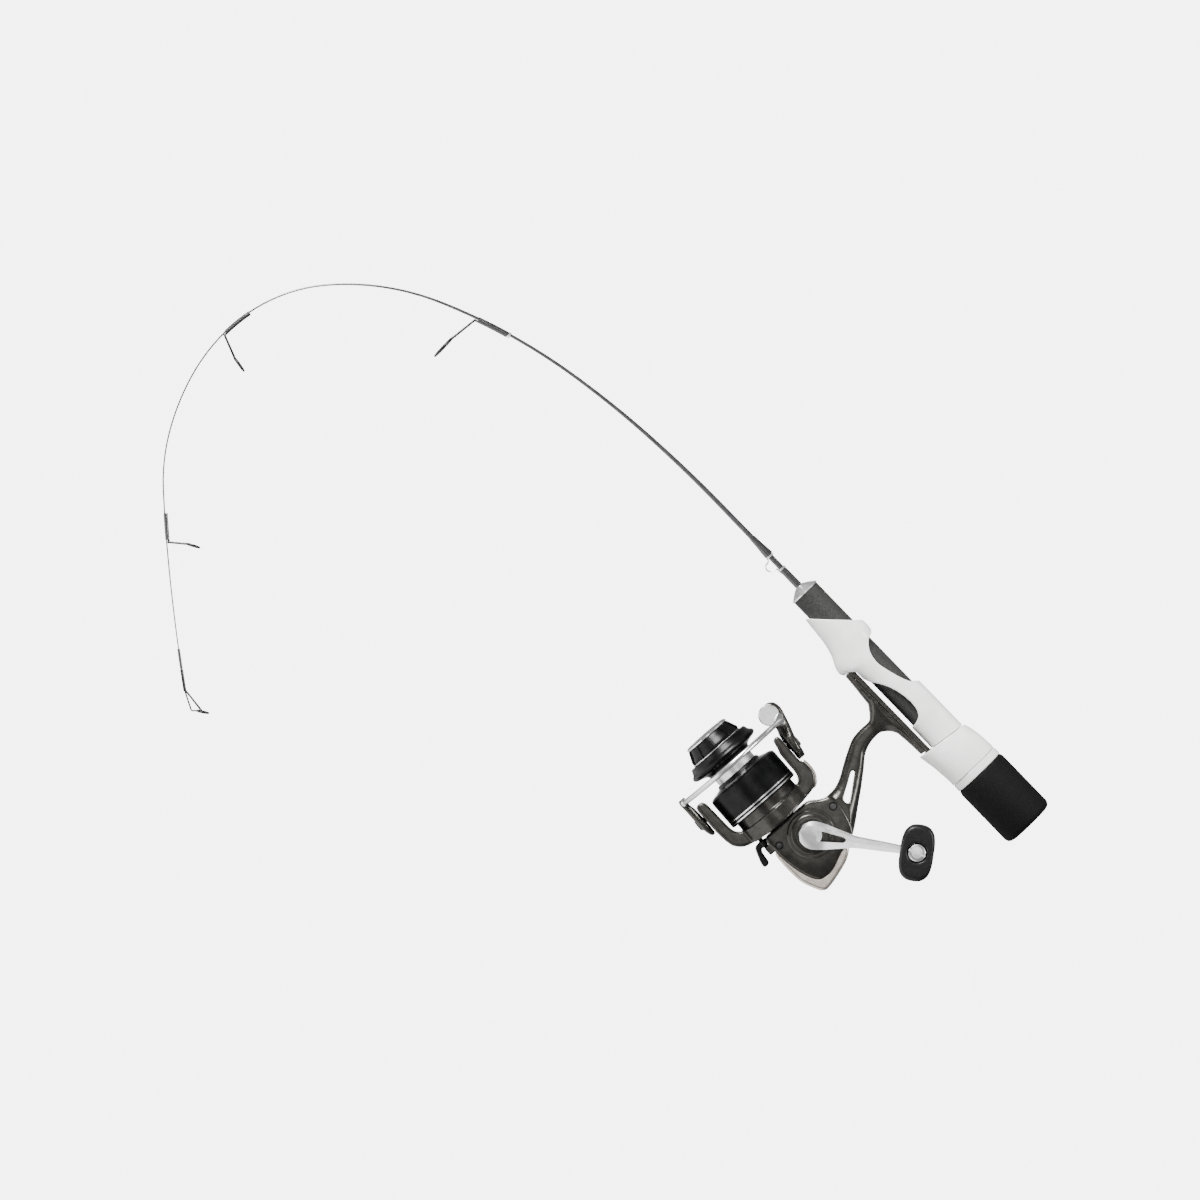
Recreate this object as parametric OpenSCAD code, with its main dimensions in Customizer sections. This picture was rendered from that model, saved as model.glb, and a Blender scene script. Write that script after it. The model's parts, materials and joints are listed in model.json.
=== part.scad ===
// Ice fishing rod with a bent blank, a full grip and a spinning reel. Millimetres.
// X runs from the butt toward the tip, Z up away from the reel, Y toward the crank.

/* [Handle] */
// Radius of the foam butt grip
grip_r = 12.4; // [10:0.1:15]
// Length of the foam butt grip
grip_len = 31.3; // [25:0.1:60]
// Radius of the lock ring and of the hood where they meet
ring_r = 12.1; // [10:0.1:15]
// Width of the lock ring that shows
ring_len = 3.6; // [2:0.1:8]
// Outer radius of the core tube
tube_r = 6.6; // [5:0.1:9]
// Bore radius of the core tube
tube_bore = 5.2; // [4:0.1:8]
// Front end of the core tube
tube_end = 139.5; // [120:0.5:200]
// Running gap between the hood, the nut and the tube
slide_gap = 0.1; // [0.05:0.01:0.3]

/* [Blank] */
// Where the blank starts to be measured along its curve
blank_x0 = 148; // [140:1:220]
// Length of the blank from there to its tip
blank_len = 457; // [200:1:700]
// Where the blank's butt ends inside the handle
blank_butt = 66; // [20:1:120]
// Number of flats round the blank
blank_sides = 12; // [8:1:24]

/* [Guides] */
// Radius of the guides' wire
guide_wire = 0.5; // [0.3:0.05:0.8]
// Radius of the hook keeper's wire
keeper_wire = 0.3; // [0.2:0.05:0.5]

/* [Reel] */
// Where the crank's axis crosses the rod's plane, along X
reel_x = 63; // [40:0.5:90]
// Where the crank's axis crosses the rod's plane, along Z
reel_z = -71; // [-100:0.5:-50]
// Tilt of the reel toward the rod
reel_tilt = 3; // [0:0.5:10]
// Height of the spool's axis over the crank's axis
spool_z = -6; // [-10:0.1:0]
// Half width of the gear housing away from the crank
house_far = 10; // [8:0.1:14]
// Half width of the gear housing on the crank's side
house_near = 6.5; // [5:0.1:10]
// Housing wall
house_wall = 1.4; // [1:0.1:2.5]
// Radius of the main shaft
shaft_r = 1.25; // [1:0.05:2]
// Radius of the crank shaft
crank_r = 3; // [2:0.1:4]
// Radius of the crank shaft's far end
crank_r2 = 2.4; // [1.6:0.1:3]
// Running gap of shafts in their bores
run_gap = 0.05; // [0.01:0.01:0.1]

/* [Spool and drag] */
// Radius of the spool's skirt
skirt_r = 17.6; // [14:0.1:24]
// Wall of the spool's skirt
skirt_wall = 1; // [0.8:0.1:2]
// Radius of the bare arbor
arbor_r = 10; // [8:0.1:14]
// Ribs round the drag knob
knob_ribs = 10; // [6:1:16]

/* [Gears] */
// Teeth of the drive gear
drive_teeth = 41; // [30:1:50]
// Teeth of the pinion
pinion_teeth = 9; // [7:1:12]
// Teeth of the small oscillation gear
osc_small_teeth = 12; // [10:1:16]
// Teeth of the large oscillation gear
osc_large_teeth = 22; // [16:1:30]

/* [Hidden] */

pearl = [0.90, 0.90, 0.88];
dark = [0.17, 0.17, 0.16];
black = [0.08, 0.08, 0.08];
silver = [0.82, 0.82, 0.83];
steel = [0.62, 0.63, 0.65];
brass = [0.75, 0.62, 0.35];

ring_back = grip_len;
hood_back = ring_back + ring_len;
step = 4;
spool_far = 46;

// Heading of the blank, in degrees down from X, at lengths along its curve
bend = [[0, 0], [45, 0], [90, 4.5], [130, 10], [165, 17.7], [195, 24.4], [220, 37.1],
  [245, 50.3], [270, 71.1], [295, 90.8], [320, 108], [345, 121.5], [370, 138.5],
  [395, 140.8], [470, 146]];
// Diameter of the blank at the same lengths
taper = [[-90, 3], [5, 2.6], [20, 2.4], [50, 2.16], [90, 1.8], [120, 1.6], [150, 1.42],
  [185, 1.28], [203, 1.08], [240, 0.87], [300, 0.72], [370, 0.68], [460, 0.55]];

function heading(s) = -lookup(s, bend);
function blank_r(s) = lookup(s, taper) / 2;
knots = ceil(blank_len / step);
spine_pts = [for (i = 0, p = [blank_x0, 0]; i <= knots; i = i + 1,
  p = p + step * [cos(heading((i - 0.5) * step)), sin(heading((i - 0.5) * step))]) p];
function spine(s) = s <= 0 ? [blank_x0 + s, 0]
  : let (i = min(floor(s / step), knots - 1), t = s / step - i)
    spine_pts[i] * (1 - t) + spine_pts[i + 1] * t;

function cr(a, b, c, d, t) = 0.5 * (2 * b + (c - a) * t + (2 * a - 5 * b + 4 * c - d) * t * t
  + (3 * b - a - 3 * c + d) * t * t * t);
function loop_curve(p, k) = let (n = len(p))
  [for (i = [0:n - 1], j = [0:k - 1]) cr(p[(i + n - 1) % n], p[i], p[(i + 1) % n], p[(i + 2) % n], j / k)];
function line_curve(p, k) = let (n = len(p)) concat(
  [for (i = [0:n - 2], j = [0:k - 1]) cr(p[max(i - 1, 0)], p[i], p[i + 1], p[min(i + 2, n - 1)], j / k)],
  [p[n - 1]]);
function power(v, e) = sign(v) * pow(abs(v), 2 / e);
function area(p) = let (n = len(p))
  [for (i = 0, a = 0; i <= n; a = a + cross(p[i % n], p[(i + 1) % n]), i = i + 1) a][n];
function turned_left(p) = area(p) > 0 ? [for (i = [len(p) - 1:-1:0]) p[i]] : p;
function side(p, i) = let (n = len(p), d = p[(i + 1) % n] - p[(i + n - 1) % n]) [-d[1], d[0]] / norm(d);
function inset(p, d) = [for (i = [0:len(p) - 1]) p[i] - d * side(p, i)];
function round_edge(a, b, r, k) = concat(
  [for (i = [0:k]) [a + r * (1 - cos(90 * i / k)), r * (1 - sin(90 * i / k))]],
  [for (i = [k:-1:0]) [b - r * (1 - cos(90 * i / k)), r * (1 - sin(90 * i / k))]]);

// Solid through a list of rings with equal point counts
module skin(rings) {
  n = len(rings[0]);
  m = len(rings);
  polyhedron(points = [for (r = rings) each r], faces = concat(
    [[for (i = [0:n - 1]) i]],
    [for (j = [0:m - 2], i = [0:n - 1]) each [
      [j * n + i, (j + 1) * n + i, (j + 1) * n + (i + 1) % n],
      [j * n + i, (j + 1) * n + (i + 1) % n, j * n + (i + 1) % n]]],
    [[for (i = [n - 1:-1:0]) (m - 1) * n + i]]));
}

// Joins the shapes inside into one casting of their own size
module cast() {
  resize([0, 0, 0])
    children();
}

// Solid along X through sections [x, z low, z high, y low, y high]
module loft_x(s, e = 2.4, n = 32, k = 3) {
  skin([for (q = line_curve(s, k)) [for (i = [0:n - 1]) let (a = 360 * i / n) [
    q[0], (q[3] + q[4]) / 2 + (q[4] - q[3]) / 2 * power(cos(a), e),
    (q[1] + q[2]) / 2 + (q[2] - q[1]) / 2 * power(sin(a), e)]]]);
}

// Solid along Z through sections [z, x low, x high, half width]
module loft_z(s, e = 3, n = 28, k = 2) {
  skin([for (q = line_curve(s, k)) [for (i = [0:n - 1]) let (a = 360 * i / n) [
    (q[1] + q[2]) / 2 + (q[2] - q[1]) / 2 * power(cos(a), e), q[3] * power(sin(a), e), q[0]]]]);
}

// Plate with an outline in XZ, from y = a to y = b, with rounded rims
module pillow(outline, a, b, r = 1, k = 3, sm = 3) {
  p = turned_left(loop_curve(outline, sm));
  skin([for (l = round_edge(a, b, r, k)) [for (q = inset(p, l[1])) [q[0], l[0], q[1]]]]);
}

// Wire of radius r along points in space that lie near one plane with the normal up
module wire(p, r, up, n = 10) {
  m = len(p);
  skin([for (i = [0:m - 1]) let (t = p[min(i + 1, m - 1)] - p[max(i - 1, 0)], u = up / norm(up),
    v = cross(t / norm(t), u)) [for (j = [0:n - 1])
    p[i] + r * (cos(360 * j / n) * u + sin(360 * j / n) * v / norm(v))]]);
}

module turn_x(p, fn = 96) {
  rotate([0, 90, 0])
    rotate_extrude($fn = fn)
      polygon([for (q = p) [q[1], q[0]]]);
}

module turn_y(p, fn = 96) {
  rotate([-90, 0, 0])
    rotate_extrude($fn = fn)
      polygon([for (q = p) [q[1], q[0]]]);
}

module rod(a, b, r, fn = 24) {
  d = b - a;
  translate(a)
    rotate([0, acos(d[2] / norm(d)), atan2(d[1], d[0])])
      cylinder(h = norm(d), r = r, $fn = fn);
}

module along_x(a, b, r, fn = 64) {
  translate([a, 0, 0])
    rotate([0, 90, 0])
      cylinder(h = b - a, r = r, $fn = fn);
}

module along_y(a, b, r, fn = 64) {
  translate([0, a, 0])
    rotate([-90, 0, 0])
      cylinder(h = b - a, r = r, $fn = fn);
}

module reel() {
  translate([reel_x, 0, reel_z])
    rotate([0, -reel_tilt, 0])
      children();
}

module on_spool() {
  reel()
    translate([0, 0, spool_z])
      children();
}

// ---- rod ----

// Part of the blank's curve, made thicker and shifted toward the guides
module blank_run(s0, s1, more, shift, n, sides) {
  skin([for (i = [0:n]) let (s = s0 + (s1 - s0) * i / n, c = spine(s), h = heading(s),
    r = blank_r(s) + more, q = c + shift * [sin(h), -cos(h)]) [for (j = [0:sides - 1])
    let (a = 360 * j / sides) [q[0] - r * sin(a) * sin(h), r * cos(a), q[1] + r * sin(a) * cos(h)]]]);
}

module blank_solid(more = 0) {
  blank_run(0, blank_len, more, 0, knots, blank_sides);
}

module blank() {
  color(dark) {
    blank_run(0, blank_len, 0, 0, knots, blank_sides);
    turn_x([[blank_butt, 0], [blank_butt, 1.5], [blank_x0 + 0.01, 1.3], [blank_x0 + 0.01, 0]]);
  }
}

module blank_arbors() {
  color(brass)
    for (x = [74, 118])
      turn_x([[x, 1.52], [x, tube_bore], [x + 9, tube_bore], [x + 9, 1.52]]);
}

module core_tube() {
  color(dark)
    difference() {
      turn_x([[8, tube_bore], [8, tube_r - 0.6], [8.6, tube_r], [tube_end, tube_r], [tube_end, tube_bore]]);
      for (x = [10:1.6:32])
        turn_x([[x, tube_r - 0.4], [x - 0.4, tube_r + 1], [x + 1.2, tube_r + 1], [x + 0.8, tube_r - 0.4]]);
    }
}

sleeve_sections = [[50, -7.6, 9, -9, 9], [72, -7.6, 9, -9, 9], [82, -7.7, 8.9, -9, 9],
  [92, -8, 8.7, -9, 9], [98.5, -9.5, 8.6, -8.9, 8.9], [101.6, -12.8, 8.6, -8.9, 8.9],
  [104, -14, 8.8, -8.9, 8.9], [107.5, -13.2, 9.2, -8.9, 8.9], [111.5, -11.2, 9.8, -8.9, 8.9],
  [117, -9.7, 8.9, -8.7, 8.7], [124, -8.9, 8.2, -8.4, 8.4], [133, -8, 7.8, -7.9, 7.9]];
top_window = [[79, 12], [79.6, 7], [82, 5], [87, 3.2], [93, 1.6], [97, 1.1], [102, 2.2],
  [105.6, 5], [107, 8], [107.2, 12]];
low_window = [[66, -12], [65.8, -6.5], [66.6, -3.2], [69, -1], [74, -0.3], [80, -1], [85, -2.5],
  [89, -4.6], [92.5, -7], [97, -9.2], [99, -16], [80, -18]];

module through(outline, sm = 3) {
  pillow(outline, -30, 30, 0.01, 1, sm);
}

module seat_sleeve() {
  color(pearl)
    difference() {
      loft_x(sleeve_sections, 2.3, 32);
      along_x(40, 140, tube_r + 0.02, 96);
      through(top_window, 2);
      through(low_window, 2);
      translate([92, -6, -10.95])
        cube([15.4, 12, 2.9]);
      translate([92, -4.2, -17])
        cube([9.9, 8.4, 9]);
      rotate([90, 0, 0])
        translate([0, 0, -20])
          linear_extrude(40)
            polygon([[40, 14], [51.3, 14], [51.3, 9], [53.4, -8], [54, -16], [40, -16]]);
      rotate([90, 0, 0])
        translate([0, 0, -20])
          linear_extrude(40)
            polygon([[140, 14], [110, 14], [116.5, 6.6], [130.5, -7], [137, -14], [140, -14]]);
    }
}

module front_cap() {
  color(silver)
    turn_x([[tube_end - 6, 1.55], [tube_end - 6, tube_bore], [tube_end, tube_bore], [tube_end, tube_r + 0.3],
      [tube_end + 0.7, tube_r + 0.3], [tube_end + 1.2, tube_r - 0.4], [tube_end + 2.4, 4.6],
      [tube_end + 3.4, 3], [tube_end + 4, 2], [tube_end + 4, 1.55]]);
}

keeper_path = line_curve([[152.6, 0, -1.66], [154.6, 0, -1.66], [155.8, 0, -2.2], [156.3, 0, -4.2],
  [158, 0, -5.2],
  [159.7, 0, -4.2], [160.2, 0, -2.2], [161.4, 0, -1.66], [163.4, 0, -1.66]], 3);

module hook_keeper(r = keeper_wire) {
  color(steel)
    wire(keeper_path, r, [0, 1, 0], 8);
}

module keeper_slot() {
  translate([0, 0, -1.66])
    along_x(152.4, 163.6, keeper_wire + 0.04, 32);
}

module fore_wraps() {
  color(black)
    difference() {
      union() {
        turn_x([[143.6, 1.34], [143.6, 1.7], [153.5, 1.62], [153.5, 1.34]]);
        turn_x([[162, 1.34], [162, 2.05], [164, 2], [168, 1.6], [172.5, 1.36], [172.5, 1.34]]);
      }
      keeper_slot();
    }
}

module winding_bands() {
  color(silver) {
    difference() {
      for (x = [153.6, 161.1])
        turn_x([[x, 1.34], [x, 1.78], [x + 0.8, 1.78], [x + 0.8, 1.34]]);
      keeper_slot();
    }
    difference() {
      blank_run(161.4, 162.3, 0.62, 0.2, 1, 20);
      blank_run(160, 164, 0.02, 0, 4, blank_sides);
    }
  }
}

// Guide feet [from, to] along the blank
feet = [[163.5, 178.5], [282, 296], [381, 393]];

function foot_up(f) = blank_r(f[0]) + guide_wire + 0.04;

module foot_run(f, more = 0) {
  blank_run(f[0], f[1], guide_wire - blank_r(f[0]) + more, foot_up(f), 4, 10);
}

// Ring from its top point to its bottom point in the rod's plane, wire radius r
module ring_place(a, b) {
  d = b - a;
  translate([(a[0] + b[0]) / 2, 0, (a[1] + b[1]) / 2])
    rotate([0, -atan2(d[1], d[0]), 0])
      children();
}

module guide_hoop(a, b) {
  ring_place(a, b)
    rotate_extrude($fn = 64)
      translate([norm(b - a) / 2 - guide_wire, 0])
        circle(guide_wire, $fn = 20);
}

module guide_insert(a, b) {
  ro = norm(b - a) / 2 - 2 * guide_wire;
  ri = ro - 0.8;
  ring_place(a, b)
    rotate_extrude($fn = 64)
      polygon([[ri, -0.4], [ri + 0.25, -0.65], [ro - 0.2, -0.65], [ro, -0.4], [ro, 0.4], [ro - 0.2, 0.65],
        [ri + 0.25, 0.65], [ri, 0.4]]);
}

// Two legs that part from the foot's end and meet the hoop at both sides
module guide_legs(f, a, b, spread) {
  c = spine(f[1] - 0.3);
  h = heading(f[1] - 0.3);
  q = c + foot_up(f) * [sin(h), -cos(h)];
  rr = norm(b - a) / 2 - guide_wire;
  u = (b - a) / norm(b - a);
  m = (a + b) / 2 - rr * cos(spread) * u;
  cast()
    for (k = [-1, 1]) {
      rod([q[0], k * 0.3, q[1]], [m[0], k * rr * sin(spread), m[1]], guide_wire, 16);
      translate([q[0], k * 0.3, q[1]])
        sphere(guide_wire + 0.04, $fn = 16);
    }
}

hoops = [[[324.9, -32.4], [324.4, -44.3]], [[385, -106.5], [376.9, -107.7]],
  [[341.4, -177.7], [335.5, -174.4]], [[286.4, -224.8], [281.4, -221.4]]];

module guide_frame(i, spread) {
  color(black) {
    foot_run(feet[i]);
    guide_hoop(hoops[i][0], hoops[i][1]);
    guide_legs(feet[i], hoops[i][0], hoops[i][1], spread);
  }
}

module guide_1_frame() {
  guide_frame(0, 32);
}

module guide_2_frame() {
  guide_frame(1, 34);
}

module guide_3_frame() {
  guide_frame(2, 36);
}

tip_s = blank_len;

module tip_top_frame() {
  t = spine(tip_s);
  h = heading(tip_s);
  a = hoops[3][0];
  b = hoops[3][1];
  rr = norm(b - a) / 2 - guide_wire;
  m = (a + b) / 2;
  color(black) {
    guide_hoop(a, b);
    cast()
      difference() {
        union() {
          blank_run(tip_s - 9, tip_s, 0.42, 0, 2, 20);
          translate([t[0], 0, t[1]])
            sphere(0.72, $fn = 20);
          for (k = [-1, 1]) {
            rod([t[0] - 0.4, k * 0.3, t[1] + 0.1], [m[0], k * rr, m[1]], 0.4, 16);
            rod([t[0] - 0.4, k * 0.3, t[1] - 0.3], [a[0] + 1.2, k * 0.5, a[1] - 1.4], 0.35, 12);
            rod([a[0] + 1.2, k * 0.5, a[1] - 1.4], [a[0] - 0.3, k * 0.6, a[1] + 0.2], 0.35, 12);
          }
        }
        blank_run(tip_s - 12, tip_s + 0.02, 0.03, 0, 3, 20);
      }
  }
}

module guide_rings() {
  color([0.2, 0.2, 0.22])
    for (p = hoops)
      guide_insert(p[0], p[1]);
}

module guide_wraps() {
  color(black) {
    for (i = [0:2])
      difference() {
        blank_run(feet[i][0] - 1, feet[i][1] - 1.5, 0.66, 0.42, 5, 18);
        blank_solid(0.03);
        foot_run(feet[i], 0.02);
      }
    difference() {
      blank_run(tip_s - 18, tip_s - 9.1, 0.35, 0, 3, 18);
      blank_solid(0.03);
    }
  }
}

// ---- grip that moves ----

hood_sections = [[34, -12.2, 12, -12, 12], [38, -12.2, 11.9, -12, 12], [42, -12.5, 11.6, -11.8, 11.8],
  [47, -13, 10.9, -11.3, 11.3], [51, -13.7, 9.7, -10.4, 10.4], [56, -14.4, 8.6, -9.3, 9.3]];

module hood() {
  color(pearl)
    difference() {
      loft_x(hood_sections, 2.15, 40);
      along_x(30, 60, tube_r + slide_gap, 96);
      along_x(30, hood_back + 1.7, ring_r - 3.6, 96);
      along_x(hood_back + 1.7, hood_back + 3.2, ring_r - 2.6, 96);
      translate([46.6, -6.1, -11])
        cube([12, 12.2, 3]);
      rotate([90, 0, 0])
        translate([0, 0, -20])
          linear_extrude(40)
            polygon([[30, 20], [hood_back, 20], [hood_back, -20], [30, -20]]);
      rotate([90, 0, 0])
        translate([0, 0, -20])
          linear_extrude(40)
            polygon([[49, 20], [50.4, 10.4], [51, 9], [54, -14], [54.2, -18], [60, -18], [60, 20]]);
    }
}

module lock_ring() {
  bore = tube_r + slide_gap;
  neck = ring_r - 3.8;
  color(pearl)
    turn_x([[6, bore], [6, 8.6], [ring_back, 8.6], [ring_back, ring_r - 0.3], [ring_back + 0.3, ring_r],
      [hood_back - 0.5, ring_r], [hood_back - 0.1, ring_r - 0.4], [hood_back - 0.1, neck],
      [hood_back + 1.9, neck], [hood_back + 1.9, neck + 0.9], [hood_back + 2.9, neck + 0.4],
      [hood_back + 2.9, bore]]);
}

module butt_grip() {
  color(black)
    turn_x([[0, 0], [0, grip_r - 3], [0.35, grip_r - 1.6], [1.1, grip_r - 0.6], [2.6, grip_r],
      [grip_len - 2, grip_r], [grip_len - 0.5, grip_r - 0.4], [grip_len, grip_r - 1], [grip_len, 8.6],
      [6, 8.6], [5.6, 0]]);
}

// ---- reel frame ----

house = [[11.8, 7], [11.1, 9.4], [9, 12.2], [7.7, 15], [6.6, 17], [3, 17.7], [-2, 17.3], [-7, 16.2],
  [-11.5, 14.2], [-13.6, 9.5], [-14.4, 4.5], [-16, 1], [-17.6, -3.2], [-17.8, -7], [-17, -10],
  [-14, -12.2], [-10, -13.9], [-5, -15.3], [0, -16.1], [4, -16.4],
  [8.6, -16.8], [10.6, -16.5], [11.7, -15.2], [11.9, -13], [11.9, -8], [11.9, 3]];
stem_sections = [[11, -12.9, 8.6, 8], [14.5, -11.6, 7.8, 7.6], [18, -9, 7.8, 6.9], [21.5, -6.1, 8.3, 6.1],
  [25.5, -2.8, 10.1, 5.4], [29, 0, 12.4, 4.9], [33, 3.5, 15, 4.5], [36.5, 6.6, 17, 4.3], [40, 10, 18.9, 4.1],
  [43.5, 12, 19.7, 4], [47, 13, 20, 4], [50, 13.3, 20, 4.1], [52, 13, 20.8, 4.3], [54.6, 11.2, 24.4, 4.6],
  [56.2, 9.2, 27.2, 4.9], [58.4, 5, 32, 5.2]];
stem_slot = [[8.9, 31], [8.2, 32], [7.4, 31.6], [3, 26.4], [-0.5, 22.1], [-0.6, 20.8], [0.6, 20.3],
  [2.2, 20.6],
  [3.4, 22.2], [6, 26.4]];
foot_plate = [[47.2, -10, -8.9, -3.6, 3.6], [48.4, -10.5, -8.5, -5, 5], [51, -10.7, -8.3, -5.8, 5.8],
  [75, -10.7, -8.3, -5.8, 5.8], [102, -10.7, -8.3, -5.8, 5.8], [105.4, -10.4, -8.5, -5, 5],
  [107, -9.9, -8.9, -3.4, 3.4]];
foot_rib = [[54.35, -12.9, -9, -3.8, 3.8], [60, -13.1, -9, -4, 4], [66, -13.6, -9, -4.4, 4.4],
  [76, -14.6, -9, -4.8, 4.8], [88, -14, -9, -4.4, 4.4], [94, -13.4, -9, -4, 4],
  [101.6, -12.8, -9, -3.2, 3.2]];
screw_spots = [[2.8, 15.1], [5.3, -13.6]];
osc_axis = [-8.8, -3.6];

module housing_bores() {
  // crank shaft and its bushes
  along_y(-20, 20, crank_r + 0.2);
  along_y(-house_far - 1.5, -house_far + 1.1, 4.6);
  translate([0, 0, spool_z]) {
    along_x(-30, 20, shaft_r + 0.3, 32);
    along_x(9, 11.2, 4.3);
    along_x(11.2, 15, 5.5);
  }
}

module frame_casting() {
  cast() {
    difference() {
      union() {
        loft_z(stem_sections);
        pillow(house, -house_far, house_near + 2, 1.3, 3, 2);
        along_y(-house_far - 1.4, -house_far + 1, 6.6, 48);
      }
      through(stem_slot, 2);
      house_room();
      translate([-30, house_near, -30])
        cube([60, 30, 60]);
    }
    for (p = screw_spots)
      translate([p[0], 0, p[1]])
        along_y(-house_far + 1, house_near, 1.9, 24);
    along_y(-house_far + 1, -house_far + 2.6, 5.4, 48);
    translate([osc_axis[0], 0, osc_axis[1]]) {
      along_y(-house_far + 1, -5.75, 2.2, 24);
      along_y(-house_far + 1, -3.7, 1.2, 48);
    }
    translate([2.2, -house_far + 1, spool_z - 3.4])
      cube([1.6, house_far + 1.6, 6]);
    translate([4.4, -2, -19.2])
      cube([4.2, 4, 5]);
    unplace_reel()
      foot();
  }
}

module house_room() {
  pillow([for (p = house) p * 0.9], -house_far + house_wall, house_near + 3, 0.6, 1, 2);
}

module unplace_reel() {
  rotate([0, reel_tilt, 0])
    translate([-reel_x, 0, -reel_z])
      children();
}

module foot() {
  loft_x(foot_plate, 4, 24, 2);
  loft_x(foot_rib, 2.6, 20, 2);
}

module reel_frame() {
  color(dark)
    reel()
      difference() {
        union() {
          frame_casting();
          translate([0, 0, spool_z])
            along_x(10.6, 14.2, 6.4);
        }
        housing_bores();
        for (p = screw_spots)
          translate([p[0], 0, p[1]])
            along_y(-2, 20, 1, 32);
        translate([0, 0, -18])
          along_x(-2, 20, 1.05, 32);
        translate([0, 0, -18])
          along_x(8.7, 12.5, 2.8, 32);
        translate([0, 0, spool_z])
          along_x(1, 5, 2.05, 32);
      }
}

module side_plate() {
  color(dark)
    reel()
      difference() {
        union() {
          pillow(house, house_near + 0.01, 9, 1, 3, 2);
          turn_y([[8.6, 0], [8.6, 10.4], [9.7, 10.4], [10.1, 9.9], [10.1, 8.8], [11.1, 8.6], [11.4, 8.1],
            [11.4, 0]]);
          along_y(6.4, 7, 5.4);
        }
        turn_y([[8.4, 10.5], [8.4, 11.2], [9.6, 11.4], [9.6, 10.5]]);
        turn_y([[9.7, 0], [9.7, 6.4], [12, 6.7], [12, 0]]);
        along_y(5, 20, crank_r + 0.2);
        along_y(7.1, 20, 4.6);
        for (p = screw_spots)
          translate([p[0], 0, p[1]]) {
            along_y(0, 20, 1.1);
            along_y(7.6, 20, 1.95);
          }
        translate([0, 0, -18])
          along_x(8.7, 12.5, 2.8);
        translate([11.6, -20, spool_z - 12])
          cube([3, 40, 30]);
      }
}

cover_rim = [[-12.6, 8.9], [-14.7, 8.8], [-16.6, 7.2], [-19, 3.2], [-21.3, -4], [-22.4, -9], [-22.2, -11.2],
  [-20.4, -13.2], [-15.2, -15.8], [-11.4, -17], [-5, -17.6], [0, -17.7], [2.8, -17.4], [4.2, -16.2],
  [3.8, -14.4], [1, -13], [-5, -10.6], [-10, -5], [-11.6, 2], [-11.8, 7.4]];

module rear_cover() {
  color(silver)
    reel()
      cast()
        difference() {
          pillow(cover_rim, -9.2, 8.4, 1.1, 3, 3);
          pillow(house, -house_far - 0.01, 12, 1.3, 3, 2);
        }
}

module plate_screws() {
  color(steel)
    reel()
      for (p = screw_spots)
        translate([p[0], 0, p[1]])
          difference() {
            union() {
              along_y(-1.9, 7.8, 0.98);
              turn_y([[7.62, 0], [7.62, 1.75], [8.3, 1.75], [8.8, 1.2], [8.9, 0]], 48);
            }
            for (a = [0, 90])
              rotate([0, a, 0])
                translate([-1, 8.3, -0.2])
                  cube([2, 2, 0.4]);
          }
}

module crank_bushes() {
  color(brass)
    reel()
      for (q = [[-house_far - 1.4, crank_r2], [7.12, crank_r]])
        turn_y([[q[0], q[1] + run_gap], [q[0], 4.58], [q[0] + 2.4, 4.58], [q[0] + 2.4, q[1] + run_gap]]);
}

module bearing_outer_race() {
  color(steel)
    on_spool()
      turn_x([[11.25, 4.85], [11.25, 5.49], [13.95, 5.49], [13.95, 4.85]]);
}

module bearing_balls() {
  color(silver)
    on_spool()
      for (a = [0:45:315])
        rotate([a, 0, 0])
          translate([12.6, 0, 4.32])
            sphere(0.5, $fn = 24);
}

module bearing_inner_race() {
  color(steel)
    on_spool()
      turn_x([[11.25, 3.01], [11.25, 3.7], [13.95, 3.7], [13.95, 3.01]]);
}

// ---- crank ----

arm_angle = 40.3;
crank_len = 44.5;
hub_y = 22.5;
arm_edge = [[-5.6, 0], [-4.6, 3.3], [-2.4, 5.2], [0.4, 6.1], [5, 5.6], [10, 4.5], [14, 3.6], [18, 2.75],
  [22, 2.45],
  [30, 2.2], [38, 1.8], [44, 1.9]];
arm_window = [[2, 1.6], [2, -1.6], [3.2, -2.3], [9, -1.7], [13.6, -1.2], [14.8, 0], [13.6, 1.2],
  [9, 1.7], [3.2, 2.3]];

function arm_y(t) = hub_y + 14.3 * min(max(t - 6, 0), 34) / 34;
function arm_h(t) = t < 8 ? 2 : t > 30 ? 1.6 : 2 - 0.4 * (t - 8) / 22;

module crank_bar() {
  skin([for (q = line_curve(arm_edge, 3)) let (w = max(q[1], 0.3), y = arm_y(q[0]), h = arm_h(q[0]))
    [[q[0], y - h, w], [q[0], y - h, -w], [q[0], y + h * 0.3, -w], [q[0], y + h, -w * 0.7],
      [q[0], y + h, 0.1 * w], [q[0], y + h * 0.3, w]]]);
}

module crank_arm() {
  color(silver)
    reel()
      difference() {
        union() {
          difference() {
            rotate([0, 180 + arm_angle, 0])
              crank_bar();
            rotate([0, 180 + arm_angle, 0])
              pillow(arm_window, hub_y - 2.4, 40, 0.01, 1, 2);
          }
          along_y(11.1, hub_y, 4.4);
          crank_end()
            along_y(17, 20.4, 3.1);
        }
        along_y(0, hub_y + 0.9, 2.5);
        crank_end()
          along_y(0, 40, 1.6);
      }
}

module crank_end() {
  rotate([0, arm_angle, 0])
    translate([-crank_len, 18.2, 0])
      children();
}

module crank_shaft() {
  color(steel)
    reel() {
      along_y(-13, -3.6, crank_r2);
      along_y(-3.6, 11, crank_r);
      along_y(11, hub_y + 0.88, 2.49);
    }
}

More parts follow.
